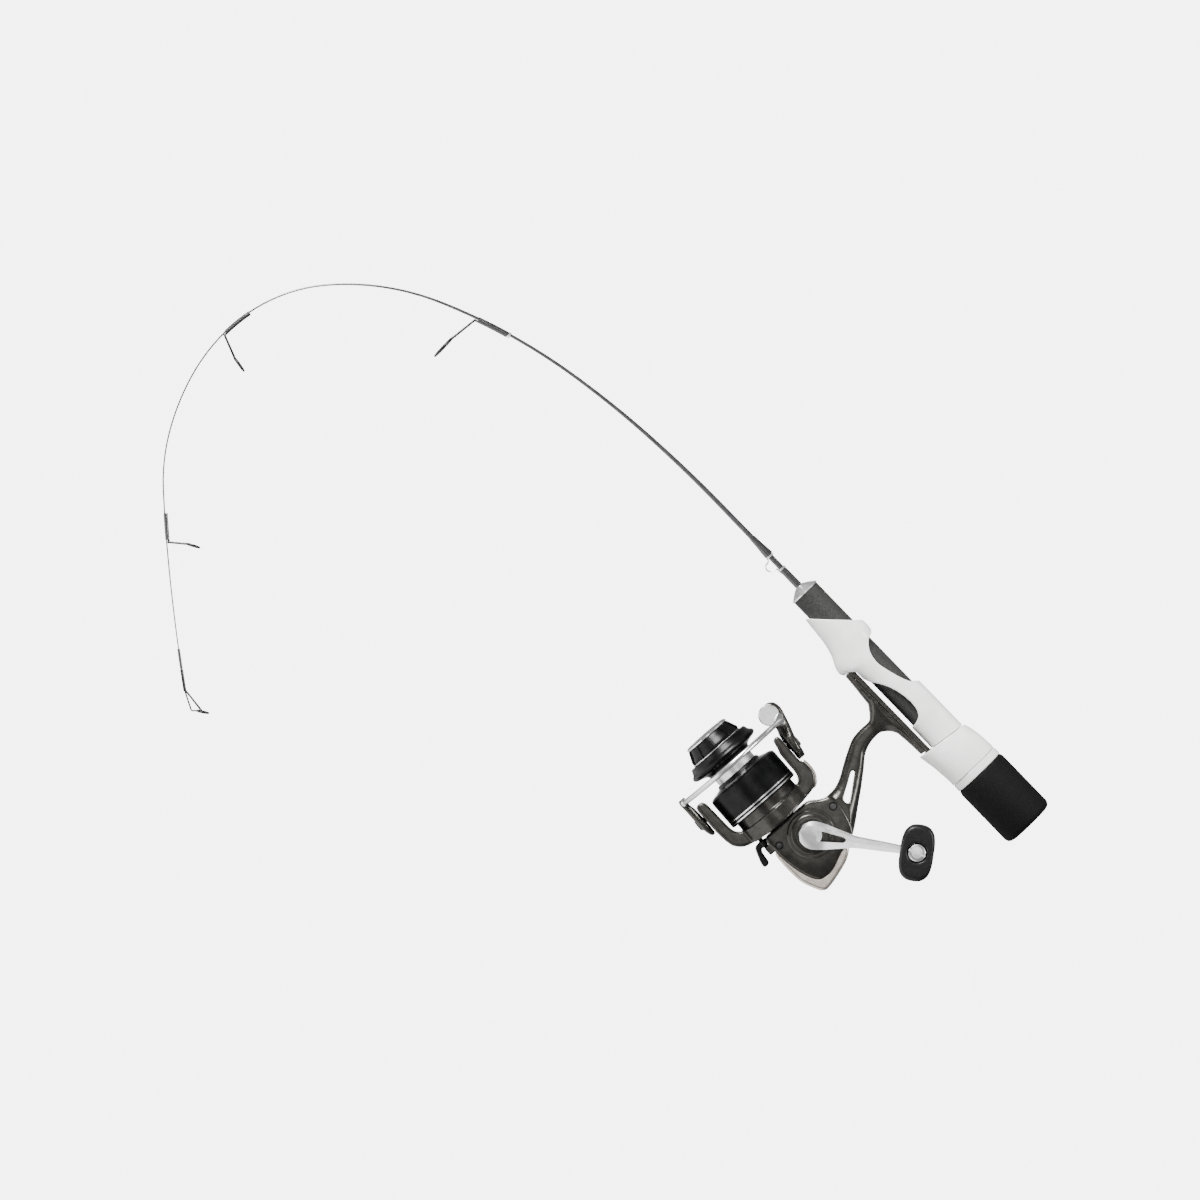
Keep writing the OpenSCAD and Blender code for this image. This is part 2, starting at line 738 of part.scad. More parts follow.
module drive_gear() {
  pitch = 9;
  tooth = 0.56;
  color(brass)
    reel() {
      difference() {
        union() {
          along_y(3.75, 5.2, 9.9);
          along_y(3.2, 6.2, 4.6);
        }
        along_y(0, 10, crank_r);
      }
      intersection() {
        for (i = [0:drive_teeth - 1])
          rotate([0, 360 * i / drive_teeth, 0])
            translate([pitch, 3.2, 0])
              rotate([0, 3.2, 0])
                translate([-1.6, 0, -tooth / 2])
                  cube([3.2, 0.6, tooth]);
        turn_y([[3, 8], [3, 9.9], [4, 9.9], [4, 8]]);
      }
    }
}

// Spur gear about Y from y = a to y = b
module spur(n, pitch, a, b, bore) {
  tip = pitch + 0.38;
  root = pitch - 0.42;
  w = 360 / n;
  difference() {
    rotate([90, 0, 0])
      translate([0, 0, -b])
        linear_extrude(b - a)
          polygon([for (i = [0:n - 1], q = [[-0.30, root], [-0.11, tip], [0.11, tip], [0.30, root]])
            q[1] * [cos(w * (i + q[0])), sin(w * (i + q[0]))]]);
    along_y(a - 1, b + 1, bore, 48);
  }
}

gear_module = 2 * norm(osc_axis) / (osc_small_teeth + osc_large_teeth);

module osc_pinion() {
  color(steel)
    reel()
      rotate([0, -atan2(osc_axis[1], osc_axis[0]), 0])
        spur(osc_small_teeth, gear_module * osc_small_teeth / 2, -5.5, -3.7, crank_r2);
}

module crank_cap() {
  color(silver)
    reel()
      turn_y([[-15, 0], [-15, 3.2], [-14.4, 4.4], [-11.9, 4.6], [-11.9, 2.41], [-13.01, 2.41], [-13.01, 0]]);
}

module knob_spindle() {
  color(steel)
    reel()
      crank_end()
        turn_y([[16.7, 0], [16.7, 2.4], [17, 2.4], [17, 1.59], [20.4, 1.59], [20.4, 1.9], [41, 1.9],
          [41, 0]], 48);
}

module knob_screw() {
  color(silver)
    reel()
      crank_end()
        difference() {
          turn_y([[41.02, 0], [41.02, 3.6], [41.6, 3.9], [42.3, 3.7], [42.6, 2.8], [42.7, 0]]);
          rotate([0, -15, 0])
            translate([-5, 42, -0.4])
              cube([10, 3, 0.8]);
        }
}

knob_rim = [[7.3, 0], [7.2, 5], [6, 9.4], [2.8, 12], [-2.8, 12], [-6, 9.4], [-7.2, 5], [-7.3, 0], [-7.2, -5],
  [-6, -9.4], [-2.8, -12], [2.8, -12], [6, -9.4], [7.2, -5]];

knob_swell = [[20.8, 0.5], [21.4, 0.6], [23.5, 0.74], [28, 0.86], [34, 0.96], [39, 1], [41.6, 0.96],
  [42.6, 0.86]];

module knob() {
  color(black)
    reel()
      crank_end()
        difference() {
          cast()
            skin([for (q = line_curve(knob_swell, 2)) [for (p = turned_left(loop_curve(knob_rim, 3)))
              [p[0] * q[1], q[0], p[1] * q[1]]]]);
          along_y(0, 60, 1.9 + run_gap);
          along_y(40.7, 60, 4.3);
        }
}

// ---- rotor ----

band = [[40, 17.3], [34, 17.3], [27.2, 17.35], [25.6, 18.3], [20.5, 18.6], [17.4, 17.6], [15, 15.4],
  [13.8, 12],
  [13, 6], [12.5, 0], [12.4, -6], [12.5, -12], [13.1, -18], [14.3, -24], [16.6, -27.4], [20, -29.3],
  [27, -30.2],
  [34, -30.2], [39.8, -30.2], [41.3, -29.3], [41.5, -28], [41.2, -26.6], [39.6, -25.5], [36, -25.2],
  [30, -24.9], [24, -24.4], [21, -22.6],
  [19.6, -19], [19.2, -12], [19.2, -6], [19.2, 0], [19.6, 7], [20.8, 10.8], [24, 12.4], [30, 12.5],
  [34.6, 12.7],
  [37.4, 13.5], [39.8, 13.9], [41.2, 14.7], [41.4, 16.3]];
pivot_x = 34.5;

band_half = 8;
base_r = 17.2;

// Both arms, and the round base between them
module band_solid() {
  pillow(band, -band_half, band_half, 1, 3, 3);
  intersection() {
    pillow(band, -base_r, base_r, 0.5, 1, 3);
    translate([0, 0, spool_z])
      along_x(10, 24, base_r, 60);
  }
}

module rotor_solid() {
  cast() {
    band_solid();
    translate([0, 0, spool_z])
      turn_x([[12.8, 0], [12.8, 13.9], [13.8, 15.2], [30, 15.2], [30, 0]], 72);
  }
}

module rotor() {
  color(dark)
    reel()
      difference() {
        rotor_solid();
        translate([0, 0, spool_z]) {
          turn_x([[10, 0], [10, 13.4], [14.6, 13.2], [14.6, 0]]);
          turn_x([[17.2, 0], [17.2, 13.8], [31, 13.9], [31, 0]]);
          along_x(10, 30, 3.01);
        }
        translate([pivot_x, 0, 9])
          cylinder(h = 12, r = 1.2, $fn = 48);
        translate([pivot_x, 0, -34])
          cylinder(h = 12, r = 1.2, $fn = 48);
        translate([28.5, 0, 14])
          cylinder(h = 6, r = 2.6, $fn = 48);
      }
}

cover_strip = [[26, 17.4], [26.2, 18.6], [25.3, 19.3], [22.6, 19.5], [19.8, 19.3], [17, 18.3], [15, 16.7],
  [14.1, 15], [14.2, 13.8], [15.4, 13.4], [18, 15.2], [21, 16.6]];

module arm_cover() {
  color(silver)
    reel()
      cast()
        difference() {
          pillow(cover_strip, -6, 6, 0.5, 2, 2);
          band_solid();
        }
}

module rotor_nut() {
  color(steel)
    on_spool()
      difference() {
        along_x(17.22, 19.3, 4.6, 6);
        along_x(10, 30, 3.01, 64);
      }
}

module pinion() {
  pr = 2.8;
  len = 5.9;
  color(brass)
    on_spool()
      difference() {
        union() {
          translate([4.2, 0, 0])
            rotate([0, 90, 0])
              linear_extrude(height = len, twist = -360 * len / (2 * 180 / 57.29578 * pr), slices = 10)
                polygon([for (i = [0:pinion_teeth - 1], q = [[-0.27, pr - 0.4], [-0.13, pr + 0.3],
                  [0.13, pr + 0.3], [0.27, pr - 0.4]])
                  q[1] * [cos(360 / pinion_teeth * (i + q[0])), sin(360 / pinion_teeth * (i + q[0]))]]);
          along_x(2.3, 4.3, 2);
          along_x(10, 20.4, 3);
        }
        along_x(0, 30, shaft_r + run_gap, 48);
      }
}

module ratchet_ring() {
  n = 12;
  color(steel)
    on_spool()
      difference() {
        translate([12.9, 0, 0])
          rotate([0, 90, 0])
            linear_extrude(1.68)
              polygon([for (i = [0:n - 1], q = [[0, 8.9], [0.75, 8.1], [0.98, 8.1]])
                q[1] * [cos(360 / n * (i + q[0])), sin(360 / n * (i + q[0]))]]);
        along_x(12, 15, 7.3);
      }
}

module bail_spring() {
  color(steel)
    reel()
      translate([28.5, 0, 14.35])
        for (i = [0:3])
          translate([0, 0, i * 0.7])
            rotate_extrude($fn = 48)
              translate([2.1, 0])
                circle(0.3, $fn = 16);
}

module bail_screws() {
  color(steel)
    reel()
      for (k = [0, 1], head = 21.4 - 0.9 * k)
        translate([pivot_x, 0, -12.9 * k])
          mirror([0, 0, k])
            rotate_extrude($fn = 64)
              polygon([[0, 13.4], [1.19, 13.4], [1.19, 17.4], [1.6, 17.4], [1.6, head], [2.9, head],
                [2.9, head + 0.6],
                [2.3, head + 1.3], [0, head + 1.5]]);
}

// ---- bail ----

bail_shape = [[27.4, 17.6, 20.6, -2, 2], [28.2, 17.42, 21.1, -4.4, 4.4], [31, 17.4, 21.7, -6.3, 6.3],
  [34.5, 17.4, 22.3, -6.9, 6.9], [38, 17.4, 23.2, -6.5, 6.3], [41, 17.7, 24.2, -6, 4.4],
  [43.5, 18.6, 24.9, -5.6, 2],
  [46, 18.6, 25.5, -5.2, 0.9], [50, 17.4, 26.3, -4.8, 0.9], [53.4, 17.6, 25.4, -4.2, 0.9],
  [55, 19.4, 23.2, -3, 0.2]];
roller_at = [50.7, 0, 20];
wire_r = 1.2;
wire_top = [[46, 12, 20.8], [46, 16, 18.6], [46, 23.4, 13.2],
  [46, 29.7, 6.2], [46, 32.6, -2], [46, 32.8, -8.6], [46, 31, -16], [46, 25.6, -22.8], [46, 16.6, -28],
  [46, 8.4, -30.9], [46, 3.4, -32.2]];

module bail_arm() {
  color(dark)
    reel()
      difference() {
        loft_x(bail_shape, 3.4, 28, 2);
        translate([pivot_x, 0, 15])
          cylinder(h = 10, r = 1.6 + run_gap, $fn = 48);
        translate([pivot_x, 0, 21.2])
          cylinder(h = 10, r = 3.2, $fn = 48);
        translate(roller_at)
          along_y(-1, 10, 1.2);
      }
}

module roller_cap() {
  color(silver)
    reel()
      translate(roller_at)
        difference() {
          union() {
            turn_y([[5.7, 0], [5.7, 4.2], [6, 4.6], [6.8, 4.6], [7.3, 4.1], [7.3, 0]]);
            along_y(-0.9, 5.7, 1.19);
          }
          along_y(6.9, 9, 0.8, 32);
        }
}

module line_roller() {
  color(steel)
    reel()
      translate(roller_at)
        turn_y([[1.3, 1.25], [1.3, 3.4], [2, 3.3], [2.8, 2.5], [4.2, 2.5], [5, 3.3], [5.4, 3.4],
          [5.4, 1.25]]);
}

module bail_wire() {
  color(silver)
    reel()
      cast()
        difference() {
          union() {
            wire(line_curve(wire_top, 3), wire_r, [1, 0, 0], 14);
            hull() {
              translate([47.4, 6.8, 23])
                sphere(1.6, $fn = 16);
              translate([45.8, 9.6, 22.2])
                sphere(1.9, $fn = 16);
              translate([46, 14, 19.6])
                sphere(1.5, $fn = 16);
            }
            translate([46, 3.4, -32.2])
              sphere(1.7, $fn = 24);
          }
          translate(roller_at)
            along_y(5.6, 7.4, 4.62, 48);
        }
}

module bail_holder() {
  color(dark)
    reel()
      difference() {
        loft_x([[27.2, -32, -31, -2, 2], [28.2, -33, -30.55, -4, 4], [31, -33.8, -30.4, -6, 6],
          [34.5, -34.2, -30.4, -6.8, 6.8], [38, -34.3, -30.4, -6, 6], [41.4, -34.3, -30.6, -4.4, 4.4],
          [44, -34.4, -31.2, -2.6, 3], [46.4, -34.5, -30.7, -2, 3.4], [48, -34, -31, -1.4, 3]], 3.4, 24, 2);
        translate([pivot_x, 0, -36])
          cylinder(h = 10, r = 1.6 + run_gap, $fn = 48);
        translate([pivot_x, 0, -36])
          cylinder(h = 2.8, r = 3.2, $fn = 48);
        translate([46, 3.4, -32.2])
          sphere(1.72, $fn = 48);
        rod([46, 3.4, -32.2], [46, 8.4, -30.7], wire_r + 0.1);
      }
}

// ---- oscillation, shaft and spool ----

module osc_gear() {
  pin = 2.2;
  color(brass)
    reel()
      translate([osc_axis[0], 0, osc_axis[1]])
        rotate([0, -atan2(osc_axis[1], osc_axis[0]) + 180 + 180 / osc_large_teeth, 0]) {
          spur(osc_large_teeth, gear_module * osc_large_teeth / 2, -5.5, -3.9, 1.2 + run_gap);
          rotate([0, 100, 0])
            translate([pin, 0, 0])
              along_y(-3.95, -1.9, 0.9);
        }
}

module main_shaft() {
  color(silver)
    on_spool()
      along_x(-10.8, 60, shaft_r, 64);
}

module osc_slider() {
  color(brass)
    reel()
      difference() {
        translate([-12, -1.6, spool_z - 3])
          cube([5, 4.2, 9.4]);
        translate([-10.4, -4, spool_z + 1.6])
          cube([1.9, 3.4, 10]);
        translate([0, 0, spool_z])
          along_x(-20, 20, shaft_r, 64);
      }
}

module drag_discs() {
  color(steel)
    on_spool()
      for (x = [48.1, 50.1])
        turn_x([[x, shaft_r], [x, 8.4], [x + 0.9, 8.4], [x + 0.9, shaft_r]]);
}

module spool() {
  lip = skirt_r - 0.4;
  color(black)
    on_spool()
      difference() {
        turn_x([[23.8, skirt_r - skirt_wall], [23.8, skirt_r - 0.5], [24.2, skirt_r], [37, skirt_r],
          [38.2, lip + 0.1], [38.9, lip - 1], [39.5, 13.8], [40.2, 11.5], [41.5, 10.7], [41.5, arbor_r - 1],
          [45.5, arbor_r - 1], [45.5, 10.8], [46.8, 11], [47.6, 11.5], [48.3, 13.2], [49.1, 16.2],
          [49.8, lip - 0.2],
          [50.5, lip], [51.2, lip - 0.3], [52.2, 15.8], [53.2, 15.4], [54.4, 14.9], [54.6, 14.4],
          [54.6, 13.3],
          [53.4, 13.3], [53.4, 9], [47, 9], [47, shaft_r + run_gap], [30, shaft_r + run_gap], [30, 4],
          [36.6, 4.6],
          [36.9, 6], [36.9, 15.6], [36.4, skirt_r - skirt_wall]]);
        for (x = [24.5, 26])
          turn_x([[x, skirt_r - 0.3], [x, skirt_r + 1], [x + 0.55, skirt_r + 1], [x + 0.55, skirt_r - 0.3]]);
        turn_x([[52.2, 8.8], [52.2, 9.4], [52.9, 9.4], [52.9, 8.8]]);
      }
}

module spool_arbor() {
  color(silver)
    on_spool()
      turn_x([[41.51, arbor_r - 1], [41.51, arbor_r], [45.49, arbor_r], [45.49, arbor_r - 1]]);
}

module skirt_stripes() {
  color(silver)
    on_spool()
      for (x = [24.5, 26])
        turn_x([[x, skirt_r - 0.3], [x, skirt_r + 0.04], [x + 0.55, skirt_r + 0.04],
          [x + 0.55, skirt_r - 0.3]]);
}

module drag_felts() {
  color([0.45, 0.36, 0.28])
    on_spool()
      for (x = [47.02, 49.1, 51.1])
        turn_x([[x, shaft_r + 0.3], [x, 8.6], [x + 0.9, 8.6], [x + 0.9, shaft_r + 0.3]]);
}

module drag_clip() {
  color(steel)
    on_spool()
      difference() {
        translate([52.55, 0, 0])
          rotate([0, 90, 0])
            rotate_extrude($fn = 64)
              translate([9.08, 0])
                circle(0.3, $fn = 16);
        translate([50, 0, 0])
          cube([5, 2.6, 14]);
      }
}

// ---- drag knob ----

module drag_knob() {
  color(black)
    on_spool()
      difference() {
        union() {
          turn_x([[54.05, 0], [54.05, 11.6], [55.35, 11.6], [55.35, 12.7], [56.4, 12.6], [58.4, 11.6],
            [60.2, 10.9],
            [61.2, 10.4], [61.3, 9.2], [62.5, 9], [62.9, 6], [63, 0]]);
          for (i = [0:knob_ribs - 1])
            rotate([360 * (i + 0.5) / knob_ribs, 0, 0])
              rotate([90, 0, 0])
                translate([0, 0, -0.5])
                  linear_extrude(1)
                    polygon([[55.4, 8], [55.4, 13.2], [56.4, 13.2], [58.6, 12.2], [60.6, 11.3], [61.2, 10.8],
                      [61.2, 8]]);
        }
        along_x(50, 60.6, shaft_r + run_gap, 48);
        along_x(50, 60.3, 5.2 + run_gap, 6);
      }
}

module drag_trim() {
  color(silver)
    on_spool() {
      turn_x([[54.05, 11.61], [54.05, 12.5], [54.5, 12.8], [55, 12.8], [55.34, 12.5], [55.34, 11.61]]);
      turn_x([[61.31, 9.3], [61.31, 10.9], [61.9, 10.9], [62.6, 10], [62.7, 9.3]]);
    }
}

module drag_spring() {
  color(steel)
    on_spool()
      for (i = [0:2])
        translate([54.6 + i * 0.75, 0, 0])
          rotate([0, 90, 0])
            rotate_extrude($fn = 48)
              translate([3.9, 0])
                circle(0.3, $fn = 16);
}

module drag_nut() {
  color(brass)
    on_spool()
      difference() {
        along_x(57.6, 60, 5.2, 6);
        along_x(50, 70, shaft_r + run_gap, 48);
      }
}

module ar_lever() {
  color(black)
    reel()
      cast() {
        union() {
          translate([0, 0, -18]) {
            along_x(5, 13.6, 1, 32);
            along_x(9, 11.7, 2.3, 48);
            rotate([-28, 0, 0])
              translate([12.6, -0.9, 0])
                cube([1, 1.8, 2.7]);
          }
          pillow([[11.7, -18], [11.8, -20.4], [11, -22.2], [8, -23.4], [4.6, -24.5], [2.4, -24.6],
            [1.9, -23.2],
            [2.6, -21.6], [5, -21.2], [7.6, -20.9], [9, -20], [9, -18]], -1.9, 1.9, 0.8, 2, 2);
        }
      }
}

blank();
blank_arbors();
core_tube();
seat_sleeve();
front_cap();
fore_wraps();
winding_bands();
hook_keeper();
guide_1_frame();
guide_2_frame();
guide_3_frame();
tip_top_frame();
guide_rings();
guide_wraps();
hood();
lock_ring();
butt_grip();
reel_frame();
side_plate();
rear_cover();
plate_screws();
crank_bushes();
bearing_outer_race();
bearing_balls();
bearing_inner_race();
crank_arm();
crank_shaft();
drive_gear();
osc_pinion();
crank_cap();
knob_spindle();
knob_screw();
knob();
rotor();
arm_cover();
rotor_nut();
pinion();
ratchet_ring();
bail_spring();
bail_screws();
bail_arm();
bail_wire();
bail_holder();
roller_cap();
line_roller();
osc_gear();
main_shaft();
osc_slider();
drag_discs();
spool();
spool_arbor();
skirt_stripes();
drag_felts();
drag_clip();
drag_knob();
drag_trim();
drag_spring();
drag_nut();
ar_lever();
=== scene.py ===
"""Ice fishing rod with a spinning reel: materials, finer surfaces, light and camera."""

import json
import math

import bmesh
import bpy
from mathutils import Matrix, Vector

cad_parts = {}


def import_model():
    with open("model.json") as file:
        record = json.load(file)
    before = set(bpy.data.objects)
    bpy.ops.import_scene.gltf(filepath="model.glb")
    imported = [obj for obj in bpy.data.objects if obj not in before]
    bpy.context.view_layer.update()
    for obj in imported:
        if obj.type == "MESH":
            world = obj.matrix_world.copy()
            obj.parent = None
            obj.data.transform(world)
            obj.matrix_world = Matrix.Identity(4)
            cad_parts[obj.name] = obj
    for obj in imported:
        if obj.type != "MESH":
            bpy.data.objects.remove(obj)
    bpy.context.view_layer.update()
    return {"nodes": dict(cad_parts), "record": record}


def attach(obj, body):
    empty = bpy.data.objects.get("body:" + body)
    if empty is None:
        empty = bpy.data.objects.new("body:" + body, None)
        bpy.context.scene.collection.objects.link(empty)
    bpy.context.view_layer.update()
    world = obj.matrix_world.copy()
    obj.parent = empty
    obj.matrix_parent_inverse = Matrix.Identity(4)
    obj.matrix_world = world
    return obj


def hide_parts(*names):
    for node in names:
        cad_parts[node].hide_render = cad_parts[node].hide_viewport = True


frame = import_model()
nodes = frame["nodes"]
record = frame["record"]
slots = {s["node"]: s["material_slot"] for s in record["subparts"]}
body_of = {n: b for b, members in record["behaviour"]["bodies"].items() for n in members}
MM = 0.001
WELD = 2e-6
TILT = math.radians(3)


# ---- shader helpers ----

class Shader:
    """A material whose colour, roughness and bump come from object-space patterns, in millimetres."""

    def __init__(self, name, tilt=False):
        self.mat = bpy.data.materials.new(name)
        self.mat.use_nodes = True
        self.tree = self.mat.node_tree
        self.bsdf = self.tree.nodes["Principled BSDF"]
        coord = self.tree.nodes.new("ShaderNodeTexCoord")
        mapping = self.tree.nodes.new("ShaderNodeMapping")
        mapping.inputs["Scale"].default_value = (1000, 1000, 1000)
        if tilt:
            mapping.inputs["Rotation"].default_value = (0, TILT, 0)
        self.link(coord.outputs["Object"], mapping.inputs["Vector"])
        self.at = mapping.outputs["Vector"]
        self.height = None

    def link(self, a, b):
        self.tree.links.new(a, b)

    def noise(self, scale, detail=3.0, stretch=None):
        n = self.tree.nodes.new("ShaderNodeTexNoise")
        n.inputs["Scale"].default_value = scale
        n.inputs["Detail"].default_value = detail
        self.link(self.stretched(stretch), n.inputs["Vector"])
        return n.outputs["Fac"]

    def stretched(self, stretch):
        if stretch is None:
            return self.at
        m = self.tree.nodes.new("ShaderNodeMapping")
        m.inputs["Scale"].default_value = stretch
        self.link(self.at, m.inputs["Vector"])
        return m.outputs["Vector"]

    def cells(self, scale):
        n = self.tree.nodes.new("ShaderNodeTexVoronoi")
        n.inputs["Scale"].default_value = scale
        self.link(self.at, n.inputs["Vector"])
        return n.outputs["Distance"]

    def rings(self, scale, direction="X"):
        n = self.tree.nodes.new("ShaderNodeTexWave")
        n.wave_type = "BANDS"
        n.bands_direction = direction
        n.inputs["Scale"].default_value = scale
        n.inputs["Distortion"].default_value = 0.15
        self.link(self.at, n.inputs["Vector"])
        return n.outputs["Fac"]

    def ramp(self, source, stops):
        r = self.tree.nodes.new("ShaderNodeValToRGB")
        for e, (pos, colour) in zip(r.color_ramp.elements, stops):
            e.position = pos
            e.color = (*colour, 1)
        self.link(source, r.inputs["Fac"])
        return r.outputs["Color"]

    def colour(self, source, dark, light):
        self.link(self.ramp(source, [(0.35, dark), (0.65, light)]), self.bsdf.inputs["Base Color"])
        return self

    def rough(self, source, low, high):
        m = self.tree.nodes.new("ShaderNodeMapRange")
        m.inputs["To Min"].default_value = low
        m.inputs["To Max"].default_value = high
        self.link(source, m.inputs["Value"])
        self.link(m.outputs["Result"], self.bsdf.inputs["Roughness"])
        return self

    def bump(self, source, strength, distance=0.1):
        b = self.tree.nodes.new("ShaderNodeBump")
        b.inputs["Strength"].default_value = strength
        b.inputs["Distance"].default_value = distance * MM
        self.link(source, b.inputs["Height"])
        if self.height is not None:
            self.link(self.height, b.inputs["Normal"])
        self.height = b.outputs["Normal"]
        self.link(self.height, self.bsdf.inputs["Normal"])
        return self

    def set(self, **values):
        for k, v in values.items():
            self.bsdf.inputs[k.replace("_", " ").title().replace("Ior", "IOR")].default_value = v
        return self


def grey(v):
    return (v, v, v)


def pearl():
    s = Shader("pearl")
    s.colour(s.noise(0.12, 2), (0.80, 0.80, 0.78), (0.88, 0.88, 0.87))
    s.rough(s.noise(3.0, 2), 0.20, 0.30)
    s.bump(s.noise(9.0, 2), 0.05, 0.02)
    return s.set(coat_weight=0.5, coat_roughness=0.12)


def foam():
    s = Shader("foam")
    s.colour(s.noise(2.2, 5), (0.001, 0.001, 0.001), (0.005, 0.005, 0.005))
    s.rough(s.noise(1.5, 3), 0.62, 0.85)
    s.set(specular_ior_level=0.1)
    s.bump(s.cells(2.6), 0.35, 0.12)
    return s.bump(s.noise(5.0, 4), 0.35, 0.08)


def metal(name, dark, light, rough, metallic=0.9, tilt=True, rings=0.0, grain=6.0, coat=0.0):
    s = Shader(name, tilt)
    s.colour(s.noise(0.35, 3), dark, light)
    s.rough(s.noise(grain, 3), rough[0], rough[1])
    s.bump(s.noise(grain * 2, 2), 0.06, 0.015)
    if rings:
        s.bump(s.rings(rings), 0.10, 0.01)
    return s.set(metallic=metallic, coat_weight=coat, coat_roughness=0.1)


def plain(name, dark, light, rough, scale=1.0, grain=6.0, depth=0.1, coat=0.0, shine=0.5):
    s = Shader(name)
    s.colour(s.noise(scale, 4), dark, light)
    s.rough(s.noise(grain, 3), rough[0], rough[1])
    s.bump(s.noise(grain, 3), depth, 0.05)
    return s.set(coat_weight=coat, coat_roughness=0.08, specular_ior_level=shine)


def graphite():
    s = Shader("graphite")
    s.colour(s.noise(1.5, 3, (0.3, 3, 0.3)), (0.010, 0.010, 0.011), (0.030, 0.030, 0.032))
    s.rough(s.noise(2.5, 2), 0.20, 0.30)
    s.bump(s.noise(3.0, 2), 0.05, 0.02)
    return s.set(coat_weight=0.8, coat_roughness=0.06)


def thread():
    s = Shader("black_thread")
    # painted shade: the thread turns are coloured darker in the grooves between them and lighter on their
    # crests, following the same rings as the bump
    s.colour(s.rings(2.6), (0.006, 0.006, 0.006), (0.018, 0.018, 0.018))
    s.rough(s.noise(3.0, 2), 0.15, 0.26)
    s.bump(s.rings(2.6), 0.35, 0.03)
    return s.set(coat_weight=1.0, coat_roughness=0.05)


LOOKS = {
    "graphite": graphite(),
    "pearl": pearl(),
    "foam": foam(),
    "black_thread": thread(),
    "brown_fibre": plain("brown_fibre", (0.24, 0.17, 0.10), (0.36, 0.27, 0.18), (0.6, 0.8)),
    "grey_grain": plain("grey_grain", grey(0.008), (0.040, 0.040, 0.039), (0.40, 0.60), 3.0, 9.0, 0.2,
                        shine=0.2),
    "satin_silver": metal("satin_silver", grey(0.82), grey(0.94), (0.26, 0.36), 0.95),
    "silver_band": metal("silver_band", grey(0.62), grey(0.82), (0.18, 0.32), 0.95, False, 2.6),
    "wire_steel": metal("wire_steel", grey(0.48), grey(0.64), (0.16, 0.28), 1.0),
    "black_wire": metal("black_wire", grey(0.012), grey(0.030), (0.20, 0.32), 0.6, False),
    "dark_ring": plain("dark_ring", (0.012, 0.012, 0.013), (0.035, 0.035, 0.037), (0.08, 0.16), 2.0, 4.0,
                       0.03),
    "gunmetal": metal("gunmetal", (0.038, 0.036, 0.032), (0.056, 0.053, 0.048), (0.22, 0.32), 0.85,
                      coat=0.1),
    "champagne": metal("champagne", (0.52, 0.46, 0.40), (0.66, 0.60, 0.53), (0.20, 0.30), 0.95, coat=0.2),
    "bronze": metal("bronze", (0.45, 0.30, 0.14), (0.60, 0.43, 0.22), (0.25, 0.4), 1.0),
    "bright_silver": metal("bright_silver", grey(0.84), grey(0.93), (0.18, 0.28), 1.0),
    "soft_black": plain("soft_black", grey(0.003), grey(0.007), (0.34, 0.44), 1.0, 7.0, 0.12,
                        shine=0.22),
    "gun_screw": metal("gun_screw", grey(0.05), grey(0.09), (0.22, 0.34), 0.8),
    "white_nylon": plain("white_nylon", (0.62, 0.61, 0.57), (0.72, 0.71, 0.67), (0.35, 0.5)),
    "spool_black": metal("spool_black", grey(0.004), grey(0.008), (0.24, 0.34), 0.75, rings=3.0),
    "felt": plain("felt", (0.12, 0.09, 0.06), (0.24, 0.19, 0.13), (0.8, 0.95), 3.0, 5.0, 0.5),
}


# ---- surfaces ----

def smooth_group(angle):
    """Welds split vertices and leaves only edges sharper than the angle hard."""
    g = bpy.data.node_groups.new("smooth_%d" % angle, "GeometryNodeTree")
    g.interface.new_socket("Geometry", in_out="INPUT", socket_type="NodeSocketGeometry")
    g.interface.new_socket("Geometry", in_out="OUTPUT", socket_type="NodeSocketGeometry")
    first = g.nodes.new("NodeGroupInput")
    last = g.nodes.new("NodeGroupOutput")
    merge = g.nodes.new("GeometryNodeMergeByDistance")
    merge.inputs["Distance"].default_value = WELD
    faces = g.nodes.new("GeometryNodeSetShadeSmooth")
    edges = g.nodes.new("GeometryNodeSetShadeSmooth")
    edges.domain = "EDGE"
    measure = g.nodes.new("GeometryNodeInputMeshEdgeAngle")
    compare = g.nodes.new("FunctionNodeCompare")
    compare.data_type = "FLOAT"
    compare.operation = "LESS_EQUAL"
    compare.inputs[1].default_value = math.radians(angle)
    g.links.new(first.outputs[0], merge.inputs["Geometry"])
    g.links.new(merge.outputs["Geometry"], faces.inputs["Geometry"])
    g.links.new(faces.outputs["Geometry"], edges.inputs["Geometry"])
    g.links.new(measure.outputs["Unsigned Angle"], compare.inputs[0])
    g.links.new(compare.outputs["Result"], edges.inputs["Shade Smooth"])
    g.links.new(edges.outputs["Geometry"], last.inputs[0])
    return g


CRISP, USUAL, SOFT = 22, 35, 50
GROUPS = {a: smooth_group(a) for a in (CRISP, USUAL, SOFT)}
ANGLES = {"crank_arm": CRISP, "drag_knob": CRISP, "hood": SOFT, "butt_grip": SOFT, "bail_wire": SOFT}


def soften(obj, angle):
    m = obj.modifiers.new("smooth", "NODES")
    m.node_group = GROUPS[angle]


def coat(obj, slot):
    obj.data.materials.clear()
    obj.data.materials.append(LOOKS[slot].mat)


def merged_copy(node, name):
    """The CAD solid's mesh as a new piece on the same body, ready to be refined."""
    mesh = nodes[node].data.copy()
    b = bmesh.new()
    b.from_mesh(mesh)
    bmesh.ops.remove_doubles(b, verts=b.verts, dist=WELD)
    b.to_mesh(mesh)
    b.free()
    obj = bpy.data.objects.new(name, mesh)
    bpy.context.scene.collection.objects.link(obj)
    coat(obj, slots[node])
    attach(obj, body_of[node])
    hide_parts(node)
    return obj


